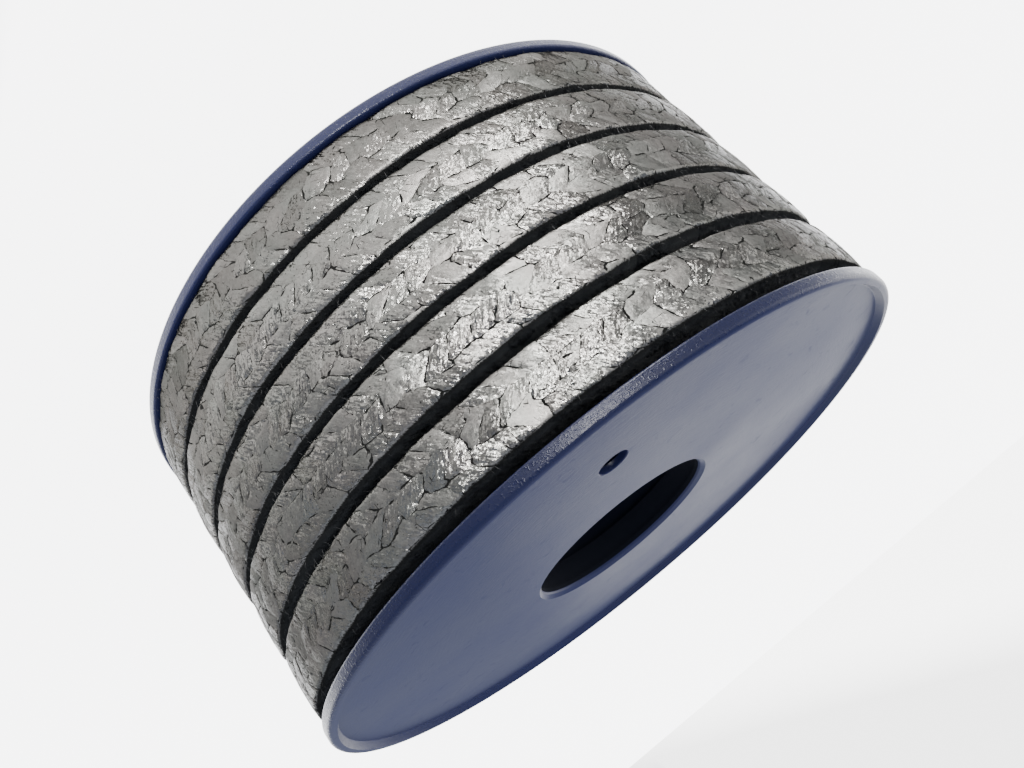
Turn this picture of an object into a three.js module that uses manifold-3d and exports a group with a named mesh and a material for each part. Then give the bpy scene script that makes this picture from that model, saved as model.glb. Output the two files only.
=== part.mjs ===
// Spool of square braided graphite gland packing.
// Two flange mouldings close the ends of a core tube, and one length of packing is wound on the tube.
// The turns lie square to the axis and step over to the next place in one zone at the back.
// Millimetres. +Z is the spool's axis, and the origin is the middle of the ring that the lower
// flange stands on.

import * as THREE from 'three';
import { mergeVertices } from 'three/addons/utils/BufferGeometryUtils.js';
import Module from 'manifold-3d';

// Flange moulding
const boreDiameter = 60;
const boreMouthRound = 1.5;
const boreLipDepth = 3;
const boreLipStep = 0.6;
const spigotWall = 1.1;
const spigotReach = 8;
const plateThickness = 2;
const rimHeight = 2;
const rimOuterRound = 1.4;
const rimLandWidth = 1;
const rimSlopeRun = 1.4;
const rimInnerBevel = 0.8;
const rimMargin = 0.2;
const driveHoleDiameter = 8.4;
const driveHoleRadius = 66;
const driveHoleAzimuth = 263;

// Core tube
const coreWall = 3.5;
const fitClearance = 0.3;

// Packing, wound in layers on the core
const packingSection = 16;
const layerCount = 4;
const turnGaps = [1.8, 2.1, 2.1, 3];
const firstTurnSeat = 0.4;
const lastTurnGap = 3.6;
const shoulderDrop = 2.8;
const edgeRowDrop = 0.5;
const plateLength = 10.2;
const braidRelief = 1;
const braidLean = 0.8;
const tailAzimuth = 196;
const tailToStepOver = 6;
const stepOverSpan = 80;

// Steps of the round surfaces
const latheSegments = 60;
const holeSegments = 24;
const roundSegments = 2;

// Sizes that follow, outwards from the bore
const boreRadius = boreDiameter / 2;
const spigotInnerRadius = boreRadius + boreLipStep;
const spigotOuterRadius = spigotInnerRadius + spigotWall;
const coreInnerRadius = spigotOuterRadius + fitClearance;
const coreOuterRadius = coreInnerRadius + coreWall;
const windingInnerRadius = coreOuterRadius + fitClearance;
const crownRadius = windingInnerRadius + layerCount * packingSection;
const floorRadius = crownRadius - packingSection;
const flangeRadius = crownRadius + rimMargin;

// Heights that follow, up the axis
const turnCount = turnGaps.length + 1;
const rimThickness = plateThickness + rimHeight;
const lowerInnerFace = rimThickness;
const windingBottom = lowerInnerFace + firstTurnSeat;
const windingWidth = turnCount * packingSection + turnGaps.reduce((sum, gap) => sum + gap, 0);
const windingTop = windingBottom + windingWidth;
const upperInnerFace = windingTop + lastTurnGap;

const bluePlastic = { color: 0x2c3a74, roughness: 0.45, metalness: 0 };
const darkPlastic = { color: 0x14161c, roughness: 0.6, metalness: 0 };
const graphite = { color: 0x7d7c7f, roughness: 0.45, metalness: 0.5 };

const wasm = await Module();
wasm.setup();

// Closed body for joining and cutting
function solidFrom(geometry) {
  const bare = geometry.clone();
  bare.deleteAttribute('normal');
  bare.deleteAttribute('uv');
  const merged = mergeVertices(bare, 1e-4);
  const mesh = new wasm.Mesh({
    numProp: 3,
    vertProperties: new Float32Array(merged.attributes.position.array),
    triVerts: new Uint32Array(merged.index.array),
  });
  return new wasm.Manifold(mesh);
}

function geometryFrom(solid) {
  const mesh = solid.getMesh();
  const geometry = new THREE.BufferGeometry();
  geometry.setAttribute('position', new THREE.BufferAttribute(mesh.vertProperties, 3));
  geometry.setIndex(new THREE.BufferAttribute(mesh.triVerts, 1));
  geometry.computeVertexNormals();
  return geometry;
}

// Ring turned about Z from a closed outline of [radius, height] corners
function turned(outline) {
  const closed = [...outline, outline[0]].map(([radius, height]) => new THREE.Vector2(radius, height));
  const ring = new THREE.LatheGeometry(closed, latheSegments);
  ring.rotateX(Math.PI / 2);
  return ring;
}

// Corner points of a quarter round from one angle to another, in degrees
function quarterRound(centreRadius, centreHeight, round, fromDegrees, toDegrees) {
  const corners = [];
  for (let step = 0; step <= roundSegments; step += 1) {
    const angle = THREE.MathUtils.degToRad(fromDegrees + ((toDegrees - fromDegrees) * step) / roundSegments);
    corners.push([centreRadius + round * Math.cos(angle), centreHeight + round * Math.sin(angle)]);
  }
  return corners;
}

// Flange with its inner face at height 0 and its rim bead upwards; the drive hole is on +X
function flangeGeometry() {
  const lipBottom = plateThickness - boreLipDepth;
  const landInner = flangeRadius - rimOuterRound - rimLandWidth;
  const outline = [
    [spigotInnerRadius, -spigotReach],
    [spigotOuterRadius, -spigotReach],
    [spigotOuterRadius, 0],
    [flangeRadius - rimInnerBevel, 0],
    [flangeRadius, rimInnerBevel],
    ...quarterRound(flangeRadius - rimOuterRound, rimThickness - rimOuterRound, rimOuterRound, 0, 90),
    [landInner, rimThickness],
    [landInner - rimSlopeRun, plateThickness],
    ...quarterRound(boreRadius + boreMouthRound, plateThickness - boreMouthRound, boreMouthRound, 90, 180),
    [boreRadius, lipBottom],
    [spigotInnerRadius, lipBottom],
  ];
  const holeReach = plateThickness + spigotReach;
  const driveHole = new THREE.CylinderGeometry(
    driveHoleDiameter / 2, driveHoleDiameter / 2, 2 * holeReach, holeSegments);
  driveHole.rotateX(Math.PI / 2);
  driveHole.translate(driveHoleRadius, 0, 0);
  return geometryFrom(solidFrom(turned(outline)).subtract(solidFrom(driveHole)));
}

function coreGeometry() {
  const bottom = lowerInnerFace + fitClearance;
  const top = upperInnerFace - fitClearance;
  return turned([
    [coreInnerRadius, bottom],
    [coreOuterRadius, bottom],
    [coreOuterRadius, top],
    [coreInnerRadius, top],
  ]);
}

// Corners across one turn, from its lower side to its upper side. The braid shows three rows of
// plates: a row's middle rises on every second station, rows take turns, and the seams between
// rows stay low. across is the share of the section from its middle, drop is how far the corner
// lies under the crown, raised says on which stations it rises, and lean shifts it along the turn,
// so that the cracks between the plates run in a zigzag.
const seamAcross = 1 / 6;
const rowAcross = 1 / 3;
const raisedOn = { never: -1, even: 0, odd: 1 };
const turnCorners = [
  { across: -0.5, drop: shoulderDrop, raised: raisedOn.odd, lean: 0 },
  { across: -rowAcross, drop: edgeRowDrop, raised: raisedOn.even, lean: braidLean / 2 },
  { across: -seamAcross, drop: 0, raised: raisedOn.never, lean: braidLean },
  { across: 0, drop: 0, raised: raisedOn.odd, lean: braidLean / 2 },
  { across: seamAcross, drop: 0, raised: raisedOn.never, lean: 0 },
  { across: rowAcross, drop: edgeRowDrop, raised: raisedOn.even, lean: braidLean / 2 },
  { across: 0.5, drop: shoulderDrop, raised: raisedOn.odd, lean: braidLean },
];

// Middle of each turn's place up the axis, with one place more past each flange: a turn steps over
// from its own place to the next
function turnPlaces() {
  const places = [];
  let edge = windingBottom;
  for (let turn = 0; turn < turnCount; turn += 1) {
    places.push(edge + packingSection / 2);
    edge += packingSection + (turnGaps[turn] ?? 0);
  }
  const before = windingBottom - turnGaps[0] - packingSection / 2;
  const after = windingTop + turnGaps[turnCount - 2] + packingSection / 2;
  return [before, ...places, after];
}

// Outer layer of turns as one surface on the layers below, closed by the ends and the inside of
// the winding. The way round runs towards falling azimuth: tail, step-over zone, then the turns.
function packingGeometry() {
  const stations = 2 * Math.round((2 * Math.PI * crownRadius) / plateLength);
  const stationAngle = 360 / stations;
  const tailStation = 2;
  const firstAzimuth = tailAzimuth + tailStation * stationAngle;
  const stepOverStart = tailStation * stationAngle + tailToStepOver;
  const places = turnPlaces();
  const half = packingSection / 2;

  const stepShare = (way) => THREE.MathUtils.smoothstep(way, stepOverStart, stepOverStart + stepOverSpan);
  const middle = (turn, way) => THREE.MathUtils.lerp(places[turn], places[turn + 1], stepShare(way));
  const inside = (height) => THREE.MathUtils.clamp(height, windingBottom, windingTop);

  // Station's corners up the winding, each as [radius, height, way round in degrees]
  function cornersAt(station) {
    const way = station * stationAngle;
    const line = [[windingInnerRadius, windingBottom, way], [floorRadius, windingBottom, way]];
    for (let turn = 0; turn <= turnCount; turn += 1) {
      const low = inside(middle(turn, way) - half);
      const high = inside(middle(turn, way) + half);
      const share = (high - low) / packingSection;
      const seen = share < 0.04 ? 0 : share;
      const starting = turn === 0;
      const ended = turn === turnCount && station > tailStation;
      const risen = starting ? stepShare(way) : 1;
      for (const corner of turnCorners) {
        const cornerWay = way + (ended ? 0 : corner.lean * seen * stationAngle);
        const drift = starting || ended ? 0 : middle(turn, cornerWay) - middle(turn, way);
        const height = starting
          ? high - (0.5 - corner.across) * seen * packingSection
          : low + (corner.across + 0.5) * seen * packingSection;
        const sunk = corner.raised === station % 2 ? 0 : braidRelief;
        const outer = crownRadius - corner.drop - sunk;
        const radius = ended || seen === 0 ? floorRadius : floorRadius + (outer - floorRadius) * risen;
        line.push([radius, inside(height + drift), cornerWay]);
      }
      if (turn < turnCount) {
        const groove = (high + inside(middle(turn + 1, way) - half)) / 2;
        line.push([floorRadius, groove, way]);
      }
    }
    line.push([floorRadius, windingTop, way], [windingInnerRadius, windingTop, way]);
    return line;
  }

  const positions = [];
  const numberOf = new Map();
  function vertex([radius, height, way]) {
    const azimuth = THREE.MathUtils.degToRad(firstAzimuth - way);
    const point = [radius * Math.cos(azimuth), radius * Math.sin(azimuth), height];
    const key = point.map((value) => Math.round(value * 1000)).join(' ');
    if (!numberOf.has(key)) {
      numberOf.set(key, positions.length / 3);
      positions.push(...point);
    }
    return numberOf.get(key);
  }

  const triangles = [];
  function addTriangle(a, b, c) {
    if (a !== b && b !== c && c !== a) triangles.push(a, b, c);
  }
  // Each four-cornered facet folds along its lower diagonal, which leaves the raised corners as the
  // tops of diamond-shaped plates
  let here = cornersAt(0);
  for (let station = 1; station <= stations; station += 1) {
    const next = cornersAt(station);
    for (let corner = 0; corner < here.length; corner += 1) {
      const above = (corner + 1) % here.length;
      const facet = [here[corner], here[above], next[above], next[corner]];
      const [a, b, c, d] = facet.map(vertex);
      const [radiusA, radiusB, radiusC, radiusD] = facet.map(([radius]) => radius);
      if (radiusA + radiusC <= radiusB + radiusD) {
        addTriangle(a, b, c);
        addTriangle(a, c, d);
      } else {
        addTriangle(a, b, d);
        addTriangle(b, c, d);
      }
    }
    here = next;
  }

  const geometry = new THREE.BufferGeometry();
  geometry.setAttribute('position', new THREE.Float32BufferAttribute(positions, 3));
  geometry.setIndex(triangles);
  geometry.computeVertexNormals();
  return geometry;
}

function piece(name, geometry, finish) {
  const mesh = new THREE.Mesh(geometry, new THREE.MeshStandardMaterial(finish));
  mesh.name = name;
  return mesh;
}

// Both flanges are the same moulding; the lower one is turned over about its drive hole's line
const spool = new THREE.Group();
const holeTurn = THREE.MathUtils.degToRad(driveHoleAzimuth);

const upperFlange = piece('upper_flange', flangeGeometry(), bluePlastic);
upperFlange.position.z = upperInnerFace;
upperFlange.rotation.z = holeTurn;
spool.add(upperFlange);

const lowerFlange = piece('lower_flange', flangeGeometry(), bluePlastic);
lowerFlange.position.z = lowerInnerFace;
lowerFlange.rotation.set(Math.PI, 0, holeTurn, 'ZYX');
spool.add(lowerFlange);

spool.add(piece('core_tube', coreGeometry(), darkPlastic));
spool.add(piece('packing', packingGeometry(), graphite));

export default spool;
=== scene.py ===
# Spool of square braided graphite gland packing: the finish of its two flanges, its core tube and
# its turns of packing. Metres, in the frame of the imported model.

import math

import bpy
import numpy as np
from mathutils import Matrix, Vector


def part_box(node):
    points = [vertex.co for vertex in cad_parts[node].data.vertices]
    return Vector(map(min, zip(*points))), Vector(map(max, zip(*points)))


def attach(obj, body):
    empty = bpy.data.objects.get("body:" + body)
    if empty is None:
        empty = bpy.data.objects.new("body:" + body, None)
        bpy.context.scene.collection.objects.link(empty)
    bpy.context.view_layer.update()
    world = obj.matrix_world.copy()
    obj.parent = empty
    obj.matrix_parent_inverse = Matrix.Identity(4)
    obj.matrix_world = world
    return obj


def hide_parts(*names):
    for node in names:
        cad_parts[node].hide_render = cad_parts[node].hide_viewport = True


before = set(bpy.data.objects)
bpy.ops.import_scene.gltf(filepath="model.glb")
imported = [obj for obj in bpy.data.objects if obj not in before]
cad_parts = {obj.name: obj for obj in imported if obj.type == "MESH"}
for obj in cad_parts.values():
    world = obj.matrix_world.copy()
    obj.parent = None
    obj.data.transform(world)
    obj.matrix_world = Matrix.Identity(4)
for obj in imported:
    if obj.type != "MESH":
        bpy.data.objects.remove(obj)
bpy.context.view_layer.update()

# Sizes of the flange moulding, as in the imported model
BORE_RADIUS = 0.030
BORE_MOUTH_ROUND = 0.0015
BORE_LIP_DEPTH = 0.003
SPIGOT_INNER_RADIUS = 0.0306
SPIGOT_OUTER_RADIUS = 0.0317
SPIGOT_REACH = 0.008
PLATE_THICKNESS = 0.002
RIM_THICKNESS = 0.004
RIM_OUTER_ROUND = 0.0014
RIM_LAND_WIDTH = 0.001
RIM_SLOPE_RUN = 0.0014
RIM_INNER_BEVEL = 0.0008
RIM_MARGIN = 0.0002
DRIVE_HOLE_RADIUS = 0.0042
DRIVE_HOLE_PLACE = 0.066
DRIVE_HOLE_AZIMUTH = math.radians(263)
CORE_INNER_RADIUS = 0.032
CORE_OUTER_RADIUS = 0.0355
FIT_CLEARANCE = 0.0003

# Sizes of the winding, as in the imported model
SECTION = 0.016
TURN_GAPS = (0.0018, 0.0021, 0.0021, 0.003)
TURNS = len(TURN_GAPS) + 1
TAIL_AZIMUTH = math.radians(196)
STEP_START = math.radians(6)
STEP_SPAN = math.radians(80)
TURN = 2 * math.pi

packing_low, packing_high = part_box("packing")
upper_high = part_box("upper_flange")[1]
lower_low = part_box("lower_flange")[0]
WINDING_BOTTOM = packing_low.z
WINDING_TOP = packing_high.z
FLANGE_RADIUS = upper_high.x
CROWN_RADIUS = FLANGE_RADIUS - RIM_MARGIN
FLOOR_RADIUS = CROWN_RADIUS - SECTION
WINDING_INNER_RADIUS = CORE_OUTER_RADIUS + FIT_CLEARANCE
UPPER_INNER_FACE = upper_high.z - RIM_THICKNESS
LOWER_INNER_FACE = lower_low.z + RIM_THICKNESS

# Camera fitted to the photograph's rims, bore and turns
CAMERA_PLACE = (0.0, -0.2565, 0.1513)
CAMERA_AZIMUTH = math.radians(90.58)
CAMERA_ELEVATION = math.radians(-23.63)
CAMERA_ROLL = math.radians(-139.86)
CAMERA_LENS = 30.26


def make_camera():
    """Camera at the place that the photograph was taken from."""
    forward = Vector((math.cos(CAMERA_AZIMUTH) * math.cos(CAMERA_ELEVATION),
                      math.sin(CAMERA_AZIMUTH) * math.cos(CAMERA_ELEVATION),
                      math.sin(CAMERA_ELEVATION)))
    level = forward.to_track_quat("-Z", "Y").to_matrix()
    data = bpy.data.cameras.new("camera")
    data.lens = CAMERA_LENS
    data.sensor_width = 36
    data.clip_start = 0.01
    data.clip_end = 50
    camera = bpy.data.objects.new("camera", data)
    camera.matrix_world = Matrix.Translation(CAMERA_PLACE) @ (
        level @ Matrix.Rotation(-CAMERA_ROLL, 3, "Z")).to_4x4()
    bpy.context.collection.objects.link(camera)
    bpy.context.scene.camera = camera


# Mesh helpers

def add_object(name, vertices, faces, material, smooth=True):
    """Object from lists of points and of faces, for the smaller meshes."""
    mesh = bpy.data.meshes.new(name)
    mesh.from_pydata([tuple(v) for v in vertices], [], [tuple(f) for f in faces])
    mesh.materials.append(material)
    if smooth:
        mesh.shade_smooth()
    else:
        mesh.shade_flat()
    mesh.update()
    thing = bpy.data.objects.new(name, mesh)
    bpy.context.collection.objects.link(thing)
    return thing


def add_array_object(name, points, quads, material, caps=()):
    """Fast way in for a large mesh of four-cornered faces held in arrays, with a few larger caps."""
    corners = np.concatenate([quads.ravel(), *caps]).astype(np.int32)
    totals = np.array([4] * len(quads) + [len(cap) for cap in caps], dtype=np.int32)
    starts = np.concatenate([[0], np.cumsum(totals)[:-1]]).astype(np.int32)
    mesh = bpy.data.meshes.new(name)
    mesh.vertices.add(len(points))
    mesh.vertices.foreach_set("co", points.astype(np.float32).ravel())
    mesh.loops.add(len(corners))
    mesh.loops.foreach_set("vertex_index", corners)
    mesh.polygons.add(len(totals))
    mesh.polygons.foreach_set("loop_start", starts)
    mesh.polygons.foreach_set("loop_total", totals)
    mesh.update(calc_edges=True)
    mesh.materials.append(material)
    mesh.shade_smooth()
    thing = bpy.data.objects.new(name, mesh)
    bpy.context.collection.objects.link(thing)
    return thing


def grid_quads(rows, columns, close_rows=False):
    """Faces of a grid of points, row after row, closed round its columns."""
    row = np.arange(rows if close_rows else rows - 1)[:, None]
    column = np.arange(columns)[None, :]
    onward = (row + 1) % rows
    after = (column + 1) % columns
    return np.stack([row * columns + column, onward * columns + column,
                     onward * columns + after, row * columns + after], axis=-1).reshape(-1, 4)


def turned(name, outline, steps, material, sharp_degrees):
    """Closed ring turned about Z from a closed outline of (radius, height) corners."""
    angles = np.linspace(0, TURN, steps, endpoint=False)
    outline = np.array(outline)
    points = np.stack([
        np.cos(angles)[:, None] * outline[None, :, 0],
        np.sin(angles)[:, None] * outline[None, :, 0],
        np.broadcast_to(outline[None, :, 1], (steps, len(outline))),
    ], axis=-1).reshape(-1, 3)
    ring = add_array_object(name, points, grid_quads(steps, len(outline), True), material)
    ring.data.set_sharp_from_angle(angle=math.radians(sharp_degrees))
    return ring


def arc(centre_radius, centre_height, radius, from_degrees, to_degrees, steps):
    """Round part of an outline of (radius, height) corners."""
    angles = np.radians(np.linspace(from_degrees, to_degrees, steps + 1))
    return [(centre_radius + radius * math.cos(a), centre_height + radius * math.sin(a))
            for a in angles]


# Material helpers

class Nodes:
    """Short way to write a node tree: each method adds one step and gives back its output."""

    def __init__(self, tree):
        self.tree = tree

    def node(self, kind, **settings):
        made = self.tree.nodes.new(kind)
        for key, value in settings.items():
            setattr(made, key, value)
        return made

    def put(self, socket, value):
        if isinstance(value, bpy.types.NodeSocket):
            self.tree.links.new(value, socket)
        else:
            socket.default_value = value

    def math(self, operation, first, second=0.0):
        made = self.node("ShaderNodeMath", operation=operation)
        self.put(made.inputs[0], first)
        self.put(made.inputs[1], second)
        return made.outputs[0]

    def combine(self, x, y, z=0.0):
        made = self.node("ShaderNodeCombineXYZ")
        for socket, value in zip(made.inputs, (x, y, z)):
            self.put(socket, value)
        return made.outputs[0]

    def split(self, vector):
        made = self.node("ShaderNodeSeparateXYZ")
        self.put(made.inputs[0], vector)
        return made.outputs

    def vector_math(self, operation, first, second=(0.0, 0.0, 0.0), scale=None):
        made = self.node("ShaderNodeVectorMath", operation=operation)
        self.put(made.inputs[0], first)
        self.put(made.inputs[1], second)
        if scale is not None:
            self.put(made.inputs["Scale"], scale)
        return made.outputs["Value" if operation == "DOT_PRODUCT" else "Vector"]

    def every_way(self, colour):
        """Vector from a random colour, as likely to point one way as the other."""
        return self.vector_math("SUBTRACT", colour, (0.5, 0.5, 0.5))

    def voronoi(self, vector, feature, output, randomness=1.0, scale=1.0, dimensions="3D"):
        made = self.node("ShaderNodeTexVoronoi", feature=feature, voronoi_dimensions=dimensions)
        self.put(made.inputs["Vector"], vector)
        made.inputs["Scale"].default_value = scale
        made.inputs["Randomness"].default_value = randomness
        return made.outputs[output]

    def noise(self, vector, scale, detail=3.0, roughness=0.55, distortion=0.0, output="Fac"):
        made = self.node("ShaderNodeTexNoise")
        self.put(made.inputs["Vector"], vector)
        made.inputs["Scale"].default_value = scale
        made.inputs["Detail"].default_value = detail
        made.inputs["Roughness"].default_value = roughness
        made.inputs["Distortion"].default_value = distortion
        return made.outputs[output]

    def ramp(self, value, low, high, out_low=0.0, out_high=1.0, kind="LINEAR"):
        made = self.node("ShaderNodeMapRange", interpolation_type=kind)
        self.put(made.inputs["Value"], value)
        for key, number in (("From Min", low), ("From Max", high),
                            ("To Min", out_low), ("To Max", out_high)):
            made.inputs[key].default_value = number
        return made.outputs["Result"]

    def mix(self, share, first, second):
        """Mix of two colours. The numbers are those of the node's colour sockets."""
        made = self.node("ShaderNodeMix", data_type="RGBA")
        self.put(made.inputs[0], share)
        self.put(made.inputs[6], first)
        self.put(made.inputs[7], second)
        return made.outputs[2]


class Shader(Nodes):
    """Node material on the standard surface shader."""

    def __init__(self, name):
        self.material = bpy.data.materials.new(name)
        self.material.use_nodes = True
        super().__init__(self.material.node_tree)
        self.surface = self.tree.nodes["Principled BSDF"]

    def principled(self, **values):
        for key, value in values.items():
            self.put(self.surface.inputs[key.replace("_", " ")], value)

    def attribute(self, name):
        return self.node("ShaderNodeAttribute", attribute_name=name).outputs["Fac"]

    def place(self):
        return self.node("ShaderNodeTexCoord").outputs["Object"]

    def ring_place(self, stretch):
        """Place as radius, height and way round, which counts little, for marks that run round Z."""
        x, y, z = self.split(self.place())
        square = self.math("ADD", self.math("MULTIPLY", x, x), self.math("MULTIPLY", y, y))
        way_round = self.math("MULTIPLY", self.math("ARCTAN2", y, x), stretch)
        return self.combine(self.math("SQRT", square), z, way_round)

    def bump(self, height, distance, strength, normal=None):
        made = self.node("ShaderNodeBump")
        made.inputs["Strength"].default_value = strength
        made.inputs["Distance"].default_value = distance
        self.put(made.inputs["Height"], height)
        if normal is not None:
            self.put(made.inputs["Normal"], normal)
        return made.outputs["Normal"]

    def facets(self, vector, scale, share, least, most, normal):
        """Crumpled foil: each small cell gets a normal of its own, tilted more where share is high."""
        tilt = self.every_way(self.voronoi(vector, "F1", "Color", scale=scale))
        tilt = self.vector_math("SCALE", tilt, scale=self.ramp(share, 0.0, 1.0, least, most))
        return self.vector_math("NORMALIZE", self.vector_math("ADD", normal, tilt))


# Braid pattern, in millimetres along and across the strand

PLATE_LENGTH = 6.3
ROW_WIDTH = SECTION * 1000 / 3
EDGE_LEAN = 0.8
MIDDLE_LEAN = -0.65
IRREGULARITY = 0.7
# Wander of the plates' edges: how fine it is, and how far it goes, in plates
WANDER_SCALE = 2.3
WANDER_REACH = 0.24
# Half width of the cracks, in plates: from and to in the noise that opens them, and from and to
CRACK_OPENING_SCALE = 1.7
CRACK_OPENING = (0.42, 0.60, -0.015, 0.042)


def braid_plates(n, along, across):
    """Nodes of the braid: three rows of leaning plates, with cracks between some of them. The same
    nodes shape the mesh and colour it. Gives the place in the pattern, the colour that numbers each
    plate, the distance to its edge and how far a point lies inside a crack, in plates."""
    half_row = ROW_WIDTH / 2
    middle = n.math("MAXIMUM", n.math("MINIMUM", across, half_row), -half_row)
    zigzag = n.math("ADD", n.math("MULTIPLY", across, EDGE_LEAN),
                    n.math("MULTIPLY", middle, MIDDLE_LEAN - EDGE_LEAN))
    straight = n.math("SUBTRACT", along, zigzag)
    place = n.combine(n.math("DIVIDE", straight, PLATE_LENGTH),
                      n.math("ADD", n.math("DIVIDE", across, ROW_WIDTH), IRREGULARITY / 2))
    wander = n.every_way(n.noise(place, WANDER_SCALE, detail=3, output="Color"))
    warped = n.vector_math("ADD", place, n.vector_math("SCALE", wander, scale=WANDER_REACH))
    edge = n.voronoi(warped, "DISTANCE_TO_EDGE", "Distance", IRREGULARITY, dimensions="2D")
    plate = n.voronoi(warped, "F1", "Color", IRREGULARITY, dimensions="2D")
    opening = n.ramp(n.noise(place, CRACK_OPENING_SCALE, detail=2, roughness=0.6), *CRACK_OPENING)
    crack = n.math("SUBTRACT", opening, edge)
    return straight, plate, edge, crack


# Materials. Colours in pairs are the two ends of a mix.

PLASTIC_BLUES = ((0.0078, 0.0096, 0.034, 1), (0.0094, 0.0116, 0.041, 1))
SCUFF_BLUE = (0.03, 0.035, 0.08, 1)
# Painted shade: a darker blue on the rim's outer wall, and a dark colour on the bore's wall
RIM_SHADE_BLUE = (0.0020, 0.0036, 0.022, 1)
BORE_SHADE = (0.0015, 0.0022, 0.0050, 1)
CORE_COLOURS = ((0.0020, 0.0030, 0.0065, 1), (0.0032, 0.0044, 0.0095, 1))
FOIL_TINTS = ((1.08, 1.02, 0.95, 1), (1.03, 1.03, 0.95, 1))
# Painted shade in the braid's cracks, pits and grooves, darker deep in the grooves
GROOVE_SHADE_COLOURS = ((0.011, 0.011, 0.010, 1), (0.045, 0.047, 0.047, 1))
LAYER_COLOURS = ((0.030, 0.033, 0.034, 1), (0.095, 0.100, 0.098, 1))
# Painted dark blue shade on the top of the inner layers, under the upper flange
LAYER_TOP_SHADE = (0.004, 0.006, 0.030, 1)
FIBRE_COLOURS = ((0.006, 0.006, 0.006, 1), (0.035, 0.035, 0.033, 1))

# Where a marked zone of the plastic begins and is full, in from the rim or out from the bore
RIM_ZONE = (0.0009, 0.0004)
BORE_ZONE = (0.0010, 0.0008)
BORE_ZONE_END = 0.0002
# The first turn lies in the far flange's shade: heights from and to, and its tone from and to
FIRST_TURN_SHADE = (0.018, 0.024, 0.72, 1.0)
# Painted dark blue shade on the top of the inner layers under the upper flange: begins and is full this
# far under it
LAYER_TOP_SHADE_ZONE = (0.0005, 0.0003)


def plastic_zones(s, round_place):
    """Share of the rim's outer wall, which is worn and painted a darker blue as shade, and of the bore's
    wall, painted dark as shade.
    """
    radius, height = s.split(round_place)[:2]
    rim = s.ramp(radius, *(FLANGE_RADIUS - inward for inward in RIM_ZONE))
    middle = (UPPER_INNER_FACE + LOWER_INNER_FACE) / 2
    reach = UPPER_INNER_FACE + PLATE_THICKNESS - BORE_MOUTH_ROUND - middle
    from_middle = s.math("ABSOLUTE", s.math("SUBTRACT", height, middle))
    bore = s.math("MULTIPLY", s.ramp(radius, *(BORE_RADIUS + outward for outward in BORE_ZONE)),
                  s.ramp(from_middle, reach, reach - BORE_ZONE_END))
    return rim, bore


def blue_plastic():
    """Satin moulded plastic with a faint mould texture and light scuffs. It is rubbed and scratched round
    the rim, where a darker blue is painted on as shade, and dull in the bore, where dark shade is painted
    on."""
    s = Shader("blue_plastic")
    place = s.place()
    round_place = s.ring_place(0.012)
    rim, bore = plastic_zones(s, round_place)
    cloud = s.noise(place, 28, detail=4)
    grain = s.noise(place, 900, detail=2)
    marks = s.noise(round_place, 1500, detail=3, roughness=0.7)
    rubbed = s.noise(s.ring_place(0.002), 5200, detail=2)
    dots = s.ramp(s.noise(place, 1400, detail=2), 0.52, 0.66)
    scuff = s.ramp(s.noise(place, 160, detail=6, distortion=1.5), 0.6, 0.75)

    colour = s.mix(s.ramp(cloud, 0.35, 0.65), *PLASTIC_BLUES)
    colour = s.mix(s.math("MULTIPLY", scuff, 0.10), colour, SCUFF_BLUE)
    # Painted shade on the bore's wall
    colour = s.mix(bore, colour, BORE_SHADE)
    # Painted shade: a darker blue on the rim's outer wall
    colour = s.mix(s.math("MULTIPLY", rim, 0.6), colour, RIM_SHADE_BLUE)

    roughness = s.math("ADD", s.ramp(cloud, 0.3, 0.7, 0.36, 0.43), s.math("MULTIPLY", scuff, 0.08))
    worn = s.math("MULTIPLY", rim, s.ramp(dots, 0.0, 1.0, 0.05, 0.16))
    roughness = s.math("SUBTRACT", roughness, worn)
    roughness = s.math("MAXIMUM", roughness, s.math("MULTIPLY", bore, 0.95))

    scratches = s.math("MULTIPLY", rim, s.math("ADD", rubbed, s.math("MULTIPLY", dots, 0.7)))
    normal = s.bump(marks, 0.00008, 0.6, s.bump(grain, 0.00004, 0.5))
    s.principled(Base_Color=colour, Roughness=roughness, IOR=1.21,
                 Normal=s.bump(scratches, 0.00007, 0.7, normal))
    return s.material


def dark_plastic():
    """Core tube: dark plastic with a faint grain."""
    s = Shader("dark_plastic")
    place = s.place()
    s.principled(Base_Color=s.mix(s.noise(place, 60), *CORE_COLOURS),
                 Roughness=s.ramp(s.noise(place, 240), 0.3, 0.7, 0.5, 0.65),
                 IOR=1.1, Normal=s.bump(s.noise(place, 700), 0.00003, 0.6))
    return s.material


def foil_colour(s, tone, plain_place, wrinkle, yarn):
    """Grey of the foil, a little different on each plate, and darker on the first turn as painted shade.
    """
    grey = s.ramp(tone, 0.0, 1.0, 0.066, 0.092)
    for texture in (wrinkle, yarn):
        grey = s.math("MULTIPLY", grey, s.ramp(texture, 0.3, 0.7, 0.90, 1.10))
    tint = s.mix(s.ramp(s.noise(plain_place, 0.1), 0.35, 0.65), *FOIL_TINTS)
    # Painted shade on the first turn
    first_turn = s.ramp(s.split(s.place())[2], *FIRST_TURN_SHADE)
    return s.vector_math("SCALE", tint, scale=s.math("MULTIPLY", grey, first_turn))


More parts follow.
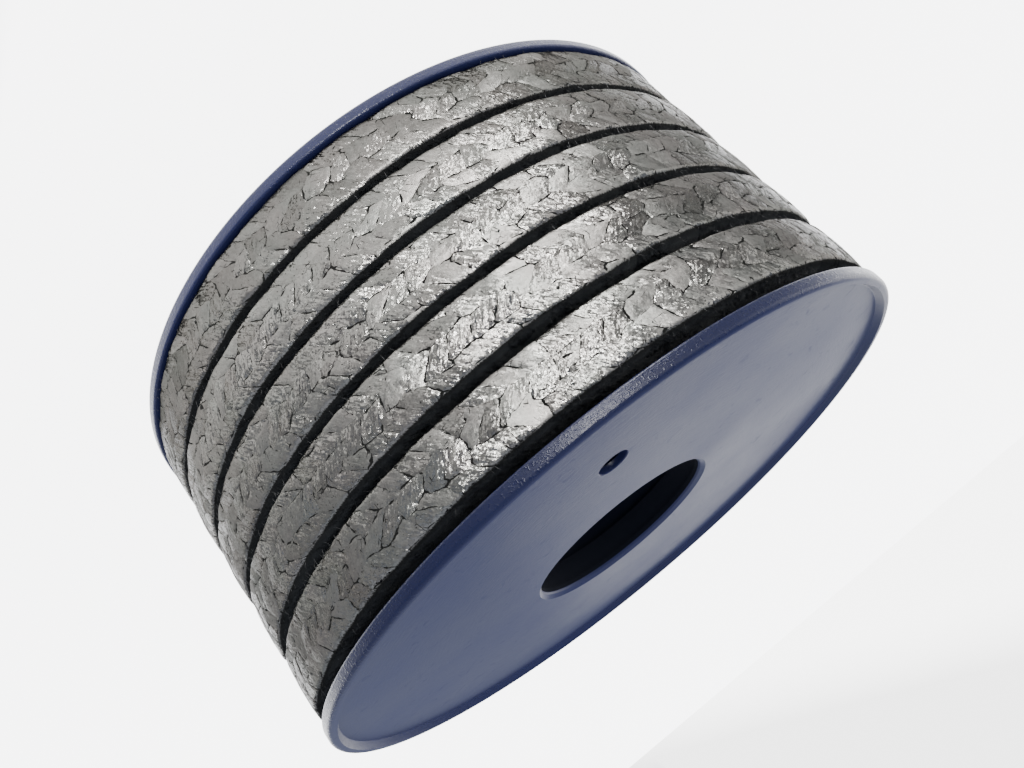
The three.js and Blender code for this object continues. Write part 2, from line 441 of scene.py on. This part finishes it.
def hollows_share(s, along, across, deep, plain_place, crack):
    """Share of cracks, pits and grooves, where dark shade is painted and the foil is dull. The groove's
    edge is ragged.
    """
    fine_edge = s.voronoi(plain_place, "DISTANCE_TO_EDGE", "Distance", scale=0.42)
    fine_open = s.ramp(s.noise(plain_place, 0.33, detail=3), 0.50, 0.68, -0.01, 0.038)
    fine_crack = s.math("SUBTRACT", fine_open, fine_edge)
    pits = s.math("SUBTRACT", s.noise(plain_place, 1.5, detail=2), 0.70)
    in_crack = s.ramp(s.math("MAXIMUM", crack, s.math("MAXIMUM", fine_crack, pits)), -0.004, 0.008)
    edge_place = s.combine(s.math("MULTIPLY", along, 2.4), s.math("MULTIPLY", across, 0.5))
    teeth = s.ramp(s.noise(edge_place, 1.0, detail=3), 0.3, 0.7, -0.05, 0.05)
    in_groove = s.ramp(s.math("ADD", deep, teeth), 0.15, 0.20)
    return s.math("MAXIMUM", in_crack, in_groove)


def foil_normal(s, plate_way, plain_place, yarn_place, crumple, relief):
    """Each plate tilted its own way, crumpled into facets and finely wrinkled."""
    tilt = s.vector_math("SCALE", s.every_way(plate_way), scale=0.26)
    normal = s.vector_math("ADD", s.node("ShaderNodeNewGeometry").outputs["Normal"], tilt)
    normal = s.facets(yarn_place, 0.9, crumple, 0.09, 0.43, normal)
    normal = s.facets(plain_place, 2.3, crumple, 0.12, 0.38, normal)
    return s.bump(relief, 0.00012, 0.7, normal)


def graphite_braid():
    """Pressed graphite foil yarn. The mesh carries along and across, in millimetres, and how deep in
    a groove a point lies."""
    s = Shader("graphite_braid")
    along = s.attribute("along")
    across = s.attribute("across")
    deep = s.attribute("deep")
    straight, plate, edge, crack = braid_plates(s, along, across)
    tone, foil, other = s.split(plate)
    plain_place = s.combine(along, across, s.math("MULTIPLY", tone, 7.0))
    yarn_place = s.combine(s.math("MULTIPLY", straight, 2.2), s.math("MULTIPLY", across, 0.8),
                           s.math("MULTIPLY", tone, 7.0))
    wrinkle = s.noise(plain_place, 0.8, detail=5, roughness=0.66, distortion=0.5)
    yarn = s.noise(yarn_place, 1.1, detail=4, roughness=0.62, distortion=0.5)
    patch = s.ramp(s.noise(plain_place, 0.25), 0.3, 0.7, -0.35, 0.35)
    crumple = s.ramp(s.math("ADD", foil, patch), 0.05, 0.50)
    hollows = hollows_share(s, along, across, deep, plain_place, crack)
    plate_way = s.combine(other, foil, tone)

    # Painted shade in cracks, pits and grooves, darker deeper in a groove; there the foil is also dull
    shade = s.mix(s.ramp(deep, 0.2, 0.8), *GROOVE_SHADE_COLOURS)
    colour = s.mix(hollows, foil_colour(s, tone, plain_place, wrinkle, yarn), shade)
    smooth_or_crumpled = s.ramp(crumple, 0.0, 1.0, 0.50, 0.26)
    roughness = s.math("MAXIMUM", smooth_or_crumpled, s.math("MULTIPLY", hollows, 0.9))
    relief = s.math("ADD", s.math("MULTIPLY", wrinkle, 0.6), s.math("MULTIPLY", yarn, 0.5))
    s.principled(Base_Color=colour, Metallic=s.ramp(hollows, 0.0, 0.6, 1.0, 0.0),
                 Roughness=roughness, IOR=1.03, Specular_Tint=(0.4, 0.4, 0.4, 1),
                 Normal=foil_normal(s, plate_way, plain_place, yarn_place, crumple, relief))
    return s.material


def dark_braid():
    """Layers under the outer turns, seen only through the gaps. Their top under the upper flange is
    painted dark blue as shade.
    """
    s = Shader("dark_braid")
    place = s.place()
    yarn = s.noise(place, 320, detail=4, distortion=0.6)
    colour = s.mix(s.ramp(yarn, 0.35, 0.65), *LAYER_COLOURS)
    # Painted shade: dark blue on the top of the layers under the upper flange
    top = s.ramp(s.split(place)[2], *(WINDING_TOP - under for under in LAYER_TOP_SHADE_ZONE))
    s.principled(Base_Color=s.mix(top, colour, LAYER_TOP_SHADE), Roughness=0.9, IOR=1.05,
                 Normal=s.bump(yarn, 0.0006, 0.8))
    return s.material


def loose_fibre():
    """Thin dark fibres at the turns' edges."""
    s = Shader("loose_fibre")
    place = s.place()
    s.principled(Base_Color=s.mix(s.noise(place, 400), *FIBRE_COLOURS), Roughness=0.6,
                 Normal=s.bump(s.noise(place, 2000), 0.00002, 0.4))
    return s.material


# Flanges and core

FLANGE_STEPS = 288
FLANGE_SHARP_DEGREES = 20
RING_STEPS = 192
RING_SHARP_DEGREES = 60
SLOPE_FILLET = 0.0003
HOLE_EDGE = 0.0002
HOLE_STEPS = 64
CUTTER_OVERSHOOT = 0.002


def flat_run(from_radius, to_radius, height):
    """Corners on a flat stretch of an outline. Those close to its ends keep its shading flat."""
    return [(from_radius + share * (to_radius - from_radius), height)
            for share in (0.005, 0.25, 0.5, 0.75, 0.995)]


def flange_outline():
    """Closed outline with the inner face at height 0 and the rim bead upwards."""
    lip_bottom = PLATE_THICKNESS - BORE_LIP_DEPTH
    land_inner = FLANGE_RADIUS - RIM_OUTER_ROUND - RIM_LAND_WIDTH
    slope_inner = land_inner - RIM_SLOPE_RUN
    mouth_outer = BORE_RADIUS + BORE_MOUTH_ROUND
    return [
        (SPIGOT_INNER_RADIUS, -SPIGOT_REACH),
        (SPIGOT_OUTER_RADIUS, -SPIGOT_REACH),
        (SPIGOT_OUTER_RADIUS, 0),
        *flat_run(SPIGOT_OUTER_RADIUS, FLANGE_RADIUS - RIM_INNER_BEVEL, 0),
        *arc(FLANGE_RADIUS - RIM_INNER_BEVEL, RIM_INNER_BEVEL, RIM_INNER_BEVEL, -90, 0, 6),
        *arc(FLANGE_RADIUS - RIM_OUTER_ROUND, RIM_THICKNESS - RIM_OUTER_ROUND, RIM_OUTER_ROUND, 0, 90, 10),
        (land_inner, RIM_THICKNESS),
        *reversed(arc(slope_inner, PLATE_THICKNESS + SLOPE_FILLET, SLOPE_FILLET, -90, -35, 4)),
        *flat_run(slope_inner, mouth_outer, PLATE_THICKNESS),
        (mouth_outer, PLATE_THICKNESS),
        (BORE_RADIUS + 0.2 * BORE_MOUTH_ROUND, PLATE_THICKNESS - 0.6 * BORE_MOUTH_ROUND),
        (BORE_RADIUS, PLATE_THICKNESS - BORE_MOUTH_ROUND),
        (BORE_RADIUS, lip_bottom),
        (SPIGOT_INNER_RADIUS, lip_bottom),
    ]


def hole_cutter(material):
    """Closed plug of the drive hole, a little wider where it leaves the wall."""
    wide = DRIVE_HOLE_RADIUS + HOLE_EDGE
    levels = [(-CUTTER_OVERSHOOT, wide), (0.0, wide), (HOLE_EDGE, DRIVE_HOLE_RADIUS),
              (PLATE_THICKNESS - HOLE_EDGE, DRIVE_HOLE_RADIUS), (PLATE_THICKNESS, wide),
              (PLATE_THICKNESS + CUTTER_OVERSHOOT, wide)]
    points = []
    for height, radius in levels:
        for step in range(HOLE_STEPS):
            angle = TURN * step / HOLE_STEPS
            points.append((DRIVE_HOLE_PLACE + radius * math.cos(angle), radius * math.sin(angle), height))
    sides = grid_quads(len(levels), HOLE_STEPS)[:, ::-1]
    ends = [tuple(reversed(range(HOLE_STEPS))),
            tuple(range((len(levels) - 1) * HOLE_STEPS, len(levels) * HOLE_STEPS))]
    return add_object("cutter", points, [*sides.tolist(), *ends], material)


def cut_drive_hole(flange):
    """Cuts the drive hole with a slightly broken edge on both faces."""
    cutter = hole_cutter(flange.data.materials[0])
    cut = flange.modifiers.new("drive_hole", "BOOLEAN")
    cut.operation = "DIFFERENCE"
    cut.solver = "EXACT"
    cut.object = cutter
    graph = bpy.context.evaluated_depsgraph_get()
    mesh = bpy.data.meshes.new_from_object(flange.evaluated_get(graph))
    flange.modifiers.clear()
    flange.data = mesh
    bpy.data.objects.remove(cutter)
    mesh.shade_smooth()
    mesh.set_sharp_from_angle(angle=math.radians(FLANGE_SHARP_DEGREES))


def make_flange(name, node, inner_face, turned_over, material):
    """One flange. Both are the same moulding, and the lower one is turned over."""
    flange = turned(name, flange_outline(), FLANGE_STEPS, material, FLANGE_SHARP_DEGREES)
    cut_drive_hole(flange)
    over = Matrix.Rotation(math.pi, 4, "X") if turned_over else Matrix.Identity(4)
    to_hole = Matrix.Rotation(DRIVE_HOLE_AZIMUTH, 4, "Z")
    flange.data.transform(Matrix.Translation((0, 0, inner_face)) @ to_hole @ over)
    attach(flange, "root")
    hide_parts(node)


def make_core(material):
    """Plain tube between the flanges with broken edges."""
    bottom = LOWER_INNER_FACE + FIT_CLEARANCE
    top = UPPER_INNER_FACE - FIT_CLEARANCE
    bevel = 0.0003
    core = turned("core", [
        (CORE_INNER_RADIUS, bottom + bevel), (CORE_INNER_RADIUS + bevel, bottom),
        (CORE_OUTER_RADIUS - bevel, bottom), (CORE_OUTER_RADIUS, bottom + bevel),
        (CORE_OUTER_RADIUS, top - bevel), (CORE_OUTER_RADIUS - bevel, top),
        (CORE_INNER_RADIUS + bevel, top), (CORE_INNER_RADIUS, top - bevel),
    ], RING_STEPS, material, RING_SHARP_DEGREES)
    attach(core, "root")
    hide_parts("core_tube")


# Packing: path of the outer turns

def turn_places():
    """Middle of each turn's place up the axis."""
    places = [WINDING_BOTTOM + SECTION / 2]
    for gap in TURN_GAPS:
        places.append(places[-1] + SECTION + gap)
    return np.array(places)


PLACES = turn_places()


def smooth_share(value):
    """Share from 0 to 1 that starts and ends softly."""
    value = np.clip(value, 0, 1)
    return value * value * (3 - 2 * value)


def path_height(way):
    """Height of the strand's middle at a way round, in radians counted from the tail's azimuth."""
    place = np.floor(way / TURN).astype(int)
    share = smooth_share((way - place * TURN - STEP_START) / STEP_SPAN)
    from_place = PLACES[np.clip(place - 1, 0, TURNS - 1)]
    to_place = PLACES[np.clip(place, 0, TURNS - 1)]
    return from_place + (to_place - from_place) * share


def path_sink(way):
    """How far the strand still lies under the outer layer while it rises from the one below."""
    return SECTION * (1 - smooth_share((way - STEP_START) / STEP_SPAN))


# Packing: relief of the braid

# Heights in millimetres, and widths at the edge of a plate and of a crack in plates
PLATE_LIFT = 0.14
PLATE_DOME = 0.09
PLATE_DOME_WIDTH = 0.12
CRACK_DEPTH = 0.20
CRACK_SLOPE = (-0.03, 0.05)


def waves(random, position, lengths, amounts):
    """Sum of a few sine waves with lengths in the unit of position."""
    total = np.zeros_like(position)
    for length, amount in zip(lengths, amounts):
        total += amount * np.sin(position * TURN / length * random.uniform(0.85, 1.15)
                                 + random.uniform(0, TURN))
    return total


def braid_relief(along, across):
    """Height of the braid's plates and cracks at each point, in millimetres. A throwaway mesh is run
    through the nodes of the braid to get it."""
    mesh = bpy.data.meshes.new("braid_points")
    mesh.vertices.add(along.size)
    flat = np.stack([along.ravel(), across.ravel(), np.zeros(along.size)], axis=-1)
    mesh.vertices.foreach_set("co", flat.astype(np.float32).ravel())
    carrier = bpy.data.objects.new("braid_points", mesh)
    bpy.context.collection.objects.link(carrier)
    tree = bpy.data.node_groups.new("braid_relief", "GeometryNodeTree")
    for direction in ("INPUT", "OUTPUT"):
        tree.interface.new_socket("Geometry", in_out=direction, socket_type="NodeSocketGeometry")
    n = Nodes(tree)
    place = n.split(n.node("GeometryNodeInputPosition").outputs[0])
    straight, plate, edge, crack = braid_plates(n, place[0], place[1])
    values = {"plate": (plate, "FLOAT_VECTOR"), "edge": (edge, "FLOAT"), "crack": (crack, "FLOAT")}
    geometry = n.node("NodeGroupInput").outputs[0]
    for name, (value, kind) in values.items():
        store = n.node("GeometryNodeStoreNamedAttribute", data_type=kind, domain="POINT")
        store.inputs["Name"].default_value = name
        n.put(store.inputs["Value"], value)
        tree.links.new(geometry, store.inputs["Geometry"])
        geometry = store.outputs["Geometry"]
    tree.links.new(geometry, n.node("NodeGroupOutput").inputs[0])
    carrier.modifiers.new("braid", "NODES").node_group = tree
    result = carrier.evaluated_get(bpy.context.evaluated_depsgraph_get()).data
    plate = np.zeros(along.size * 3)
    edge = np.zeros(along.size)
    crack = np.zeros(along.size)
    result.attributes["plate"].data.foreach_get("vector", plate)
    result.attributes["edge"].data.foreach_get("value", edge)
    result.attributes["crack"].data.foreach_get("value", crack)
    bpy.data.objects.remove(carrier)
    bpy.data.meshes.remove(mesh)
    bpy.data.node_groups.remove(tree)
    lift = PLATE_LIFT * (plate.reshape(-1, 3)[:, 2] - 0.5)
    dome = -PLATE_DOME * np.exp(-edge / PLATE_DOME_WIDTH)
    slope_start, slope_run = CRACK_SLOPE
    depth = -CRACK_DEPTH * np.clip((crack - slope_start) / slope_run, 0, 1)
    return (lift + dome + depth).reshape(along.shape)


# Packing: mesh of the outer turns

CORNER_ROUND = 0.0012
CROWN = 0.0004
CORNER_POINTS = 5
ALONG_STEP = 0.00050
ACROSS_POINTS = 28
# The strand's pieces meet this far round after the turns step over
SEAM_AFTER_STEP = math.radians(10)
SIDE_DEPTHS = (0.0135, 0.0095, 0.0065, 0.0048, 0.0036, 0.0028, 0.0020)
# Depth under the crown where the painted shade in a groove is full
GROOVE_SHADE_DEPTH = 0.0045
# The mean surface lies this far under the crown, so that the relief stays inside the rims
RELIEF_ROOM = 0.0003
FACE_ROOM = 0.00005
STRAND_SEED = 11
# Waves of the edges and the crown: lengths along the strand, and heights, in millimetres
LOW_EDGE_WAVES = ((61, 23, 9.5, 4.1), (0.12, 0.09, 0.06, 0.05))
HIGH_EDGE_WAVES = ((53, 27, 10.5, 4.6), (0.12, 0.09, 0.06, 0.05))
SWELL_WAVES = ((83, 37, 17), (0.12, 0.10, 0.08))
ROUGH_WAVES = ((1.9, 1.3), (0.05, 0.05))


def section_line():
    """Points round the strand's section as (across, depth, pattern position), low side to high side.
    Depth is how far a point lies under the crown. The pattern position runs on round the corners."""
    half = SECTION / 2
    flat = half - CORNER_ROUND
    bend = CORNER_ROUND * math.pi / 2
    side = np.array(SIDE_DEPTHS) - CORNER_ROUND
    points = [(-half, CORNER_ROUND + drop, -flat - bend - drop) for drop in side]
    for angle in np.linspace(0, math.pi / 2, CORNER_POINTS):
        points.append((-flat - CORNER_ROUND * math.cos(angle), CORNER_ROUND * (1 - math.sin(angle)),
                       -flat - bend + CORNER_ROUND * angle))
    points += [(x, 0.0, x) for x in np.linspace(-flat, flat, ACROSS_POINTS)[1:-1]]
    points = np.array(points)
    mirrored = points[points[:, 0] < -1e-9][::-1] * (-1, 1, -1)
    line = np.vstack([points[points[:, 0] < 1e-9], mirrored])
    line[:, 1] += CROWN * (line[:, 0] / half) ** 2
    return line


def strand_points(way_from, way_to):
    """Grid of points of one stretch of the strand, with the attributes of each."""
    line = section_line()
    steps = int(round((way_to - way_from) * CROWN_RADIUS / ALONG_STEP))
    way = np.linspace(way_from, way_to, steps + 1)[:, None]
    across = line[None, :, 0]
    depth = line[None, :, 1]
    along_mm = np.broadcast_to(way * CROWN_RADIUS * 1000, (steps + 1, len(line)))
    across_mm = np.broadcast_to(line[None, :, 2] * 1000, along_mm.shape)
    relief = braid_relief(along_mm, across_mm)

    random = np.random.default_rng(STRAND_SEED)
    low_edge = waves(random, along_mm, *LOW_EDGE_WAVES)
    high_edge = waves(random, along_mm, *HIGH_EDGE_WAVES)
    swell = waves(random, along_mm, *SWELL_WAVES)
    side_share = np.clip(across / (SECTION / 2), -1, 1)
    edge_shift = np.where(side_share < 0, low_edge, high_edge) * np.abs(side_share) ** 3
    rough = waves(random, along_mm + 0.7 * across_mm, *ROUGH_WAVES) * np.abs(side_share) ** 8

    on_side = np.clip((depth - CORNER_ROUND * 0.3) / CORNER_ROUND, 0, 1)
    outward = (relief + swell + rough) * (1 - on_side) / 1000
    sideways = (edge_shift + rough + 0.5 * relief * on_side * np.sign(side_share)) / 1000
    radius = CROWN_RADIUS - RELIEF_ROOM - depth + outward - path_sink(way)
    height = path_height(way) + across + sideways
    height = np.clip(height, WINDING_BOTTOM + FACE_ROOM, WINDING_TOP - FACE_ROOM)
    azimuth = TAIL_AZIMUTH - way
    points = np.stack([radius * np.cos(azimuth), radius * np.sin(azimuth),
                       np.broadcast_to(height, radius.shape)], axis=-1)
    deep = np.broadcast_to(np.clip(depth / GROOVE_SHADE_DEPTH, 0, 1), along_mm.shape)
    values = {"deep": deep, "along": along_mm, "across": across_mm}
    return points, values


def add_strand_piece(name, way_from, way_to, material):
    """One stretch of the strand as a closed tube with flat ends."""
    points, values = strand_points(way_from, way_to)
    rows, columns = points.shape[:2]
    caps = (np.arange(columns)[::-1], np.arange(columns) + (rows - 1) * columns)
    piece = add_array_object(name, points.reshape(-1, 3), grid_quads(rows, columns), material, caps)
    for key, value in values.items():
        layer = piece.data.attributes.new(key, "FLOAT", "POINT")
        layer.data.foreach_set("value", value.ravel().astype(np.float32))
    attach(piece, "root")
    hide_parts("packing")


def make_turns(material):
    """The whole strand of the outer layer, cut into stretches behind the winding."""
    seam = STEP_START + STEP_SPAN + SEAM_AFTER_STEP
    cuts = [STEP_START] + [seam + TURN * turn for turn in range(1, TURNS)] + [TURN * TURNS]
    for number, (way_from, way_to) in enumerate(zip(cuts, cuts[1:]), 1):
        add_strand_piece(f"outer_turn_{number}", way_from, way_to, material)


def make_inner_layers(material):
    """Layers under the outer turns: one turned body with rounded turns on its outside."""
    room = 0.0001
    corner = 0.002
    corner_middle = FLOOR_RADIUS - 0.0002 - corner
    side = FLOOR_RADIUS - 0.0025
    groove = FLOOR_RADIUS - 0.004
    outline = [(WINDING_INNER_RADIUS, WINDING_BOTTOM + room)]
    for place in PLACES:
        low = place - SECTION / 2 + room
        high = place + SECTION / 2 - room
        outline += [(groove, low), (side, low)]
        outline += arc(corner_middle, low + corner, corner, 270, 360, 4)
        outline += arc(corner_middle, high - corner, corner, 0, 90, 4)
        outline += [(side, high), (groove, high)]
    outline.append((WINDING_INNER_RADIUS, WINDING_TOP - room))
    body = turned("inner_layers", outline, RING_STEPS, material, RING_SHARP_DEGREES)
    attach(body, "root")
    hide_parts("packing")


# Loose fibres along the edges of the turns

FIBRE_SEED = 23
FIBRE_SPACING = 0.0007
FIBRE_DENSITY = (0.03, 0.45)
FIBRE_ROOT = 0.0006
# Least and most of how deep a fibre starts, how far it stands out, and its thickness
FIBRE_DROP = (0.0004, 0.0045)
FIBRE_REACH = (0.0004, 0.0016)
FIBRE_THICKNESS = (0.00003, 0.00007)
# Mean and spread of how far it rises off the turn and drifts along it
FIBRE_RISE = (0.0002, 0.0004)
FIBRE_DRIFT = (0, 0.0008)
# The last fibre's way round before the end, and the room for fibres under and over the winding
FIBRES_END = 0.01
ROOM_UNDER = 0.0003
ROOM_OVER = 0.0028


def make_fibres(material):
    """Short fibres that stand out of the turns' edges, one mesh of thin closed prisms. They are
    dense in some stretches and nearly missing in others."""
    random = np.random.default_rng(FIBRE_SEED)
    points, faces = [], []
    length = TURN * CROWN_RADIUS
    least, more = FIBRE_DENSITY
    for turn in range(TURNS):
        for edge in (-1, 1):
            phase = random.uniform(0, 0.8)
            for number in range(int(length / FIBRE_SPACING)):
                from_start = number * FIBRE_SPACING / length
                density = least + more * math.cos(math.pi * from_start * 4 + phase + 0.5) ** 6
                if random.random() > density:
                    continue
                from_step = (number + random.random()) * FIBRE_SPACING / CROWN_RADIUS
                way = TURN * turn + STEP_START + STEP_SPAN + from_step
                if way > TURN * TURNS - FIBRES_END:
                    continue
                drop = random.uniform(*FIBRE_DROP)
                reach = random.uniform(*FIBRE_REACH)
                rise = random.normal(*FIBRE_RISE)
                drift = random.normal(*FIBRE_DRIFT)
                thickness = random.uniform(*FIBRE_THICKNESS)
                add_fibre(points, faces, way, edge, drop, reach, rise, drift, thickness)
    fibres = add_object("edge_fibres", points, faces, material)
    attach(fibres, "root")


def add_fibre(points, faces, way, edge, drop, reach, rise, drift, thickness):
    """Adds one fibre as a prism of three sides that tapers to its tip."""
    base = float(path_height(np.array([way]))[0]) + edge * (SECTION / 2 - FIBRE_ROOT)
    start = len(points)
    for share, width in ((0.0, 1.0), (0.5, 0.8), (1.0, 0.25)):
        angle = TAIL_AZIMUTH - way - drift * share / CROWN_RADIUS
        radius = CROWN_RADIUS - drop + rise * share * share
        height = base + edge * (reach + FIBRE_ROOT) * share
        height = min(max(height, WINDING_BOTTOM - ROOM_UNDER), WINDING_TOP + ROOM_OVER)
        outward = Vector((math.cos(angle), math.sin(angle), 0))
        around = Vector((-math.sin(angle), math.cos(angle), 0))
        middle = outward * radius + Vector((0, 0, height))
        for corner in range(3):
            turn = TURN * corner / 3
            side = outward * math.cos(turn) + around * math.sin(turn)
            points.append(middle + side * thickness * width)
    for level in (0, 3):
        for corner in range(3):
            after = (corner + 1) % 3
            faces.append((start + level + corner, start + level + after,
                          start + level + 3 + after, start + level + 3 + corner))
    faces.append((start + 2, start + 1, start))
    faces.append((start + 6, start + 7, start + 8))


# Stage

BACKDROP = 6.0
FLOOR_SIZE = 20.0
# Bright part of the floor: a wedge that opens away from the spool, in metres. Its border is soft,
# and softer far out to the sides. In front of it the floor glows less.
NEAR_FLOOR = 1.0
WEDGE_MIDDLE = 0.02
WEDGE_TIP = -0.167
WEDGE_SLOPE = 0.85
WEDGE_BORDER = 0.025
WEDGE_BORDER_GROWTH = 0.8
WEDGE_BORDER_GROWS_FROM = 0.25
# Sky brightness, as sine of the height above the horizon from and to, and brightness from and to
SKY = ((-0.02, 0.15, BACKDROP, 0.90), (0.45, 0.8, 0.0, 1.5))
SKY_SLANT = 0.42
# Middle of the pale wall behind the spool, and cosines of the angles where it ends and is full
WALL = Vector((-0.15605, 0.98529, -0.06976))
WALL_EDGE = (0.944, 0.957)
WALL_GLOW = BACKDROP * 0.65
# Dim parts of the sky are bluer: shares of the wall's glow where that begins and is full
DIM_SHARES = (0.95, 0.45)
DIM_SKY_TINT = (0.84, 0.91, 1.10, 1)


def make_floor():
    """Pale floor that glows softly, less in front of the spool."""
    s = Shader("pale_floor")
    x, y = s.split(s.place())[:2]
    side = s.math("ABSOLUTE", s.math("SUBTRACT", x, WEDGE_MIDDLE))
    behind = s.math("SUBTRACT", s.math("SUBTRACT", y, WEDGE_TIP), s.math("MULTIPLY", side, WEDGE_SLOPE))
    far_out = s.math("MAXIMUM", s.math("SUBTRACT", side, WEDGE_BORDER_GROWS_FROM), 0.0)
    border = s.math("ADD", WEDGE_BORDER, s.math("MULTIPLY", far_out, WEDGE_BORDER_GROWTH))
    glow = s.ramp(s.math("DIVIDE", behind, border), -1.0, 0.0, NEAR_FLOOR, BACKDROP)
    s.principled(Base_Color=(0.3, 0.3, 0.3, 1), Roughness=0.9,
                 Emission_Color=(1.0, 1.0, 1.0, 1), Emission_Strength=glow)
    corners = [(right * FLOOR_SIZE, back * FLOOR_SIZE, 0)
               for right, back in ((-1, -1), (1, -1), (1, 1), (-1, 1))]
    floor = add_object("floor", corners, [(0, 1, 2, 3)], s.material, smooth=False)


def make_sky():
    """Sky as pale as the floor at the horizon and dim above it, with a pale wall behind the spool."""
    world = bpy.data.worlds.new("world")
    bpy.context.scene.world = world
    world.use_nodes = True
    n = Nodes(world.node_tree)
    direction = n.node("ShaderNodeTexCoord").outputs["Generated"]
    x, y, z = n.split(direction)
    slanted = n.math("ADD", n.math("MULTIPLY", x, SKY_SLANT), z)
    low_sky, high_sky = [n.ramp(slanted, *stretch, kind="SMOOTHSTEP") for stretch in SKY]
    wall = n.ramp(n.vector_math("DOT_PRODUCT", direction, WALL), *WALL_EDGE, 0.0, WALL_GLOW)
    strength = n.math("MAXIMUM", n.math("ADD", low_sky, high_sky), wall)
    dimness = n.ramp(strength, *(WALL_GLOW * share for share in DIM_SHARES))
    background = n.tree.nodes["Background"]
    n.put(background.inputs["Strength"], strength)
    n.put(background.inputs["Color"], n.mix(dimness, (1, 1, 1, 1), DIM_SKY_TINT))


def add_light(name, place, aim, size, power, turn=0.0):
    """Rectangular light that shows in reflections only."""
    data = bpy.data.lights.new(name, "AREA")
    data.shape = "RECTANGLE"
    data.size, data.size_y = size
    data.energy = power
    light = bpy.data.objects.new(name, data)
    light.location = place
    light.visible_camera = False
    light.visible_diffuse = False
    facing = (Vector(aim) - Vector(place)).to_track_quat("-Z", "Y")
    light.rotation_euler = (facing @ Matrix.Rotation(turn, 3, "Z").to_quaternion()).to_euler()
    bpy.context.collection.objects.link(light)


def make_lights():
    """Small lamp in front at the left, and a strip on the floor that shines up past the braid."""
    add_light("key", place=(-0.15, -0.64, 0.05), aim=(0, 0, 0.05), size=(0.06, 0.07), power=11.0)
    add_light("floor_strip", place=(-0.054, -0.204, 0.001), aim=(-0.054, -0.204, 1.0),
              size=(0.030, 0.19), power=1.3, turn=math.radians(-22))


make_camera()
make_floor()
make_sky()
make_lights()
plastic = blue_plastic()
make_flange("upper_disc", "upper_flange", UPPER_INNER_FACE, False, plastic)
make_flange("lower_disc", "lower_flange", LOWER_INNER_FACE, True, plastic)
make_core(dark_plastic())
make_inner_layers(dark_braid())
make_turns(graphite_braid())
make_fibres(loose_fibre())
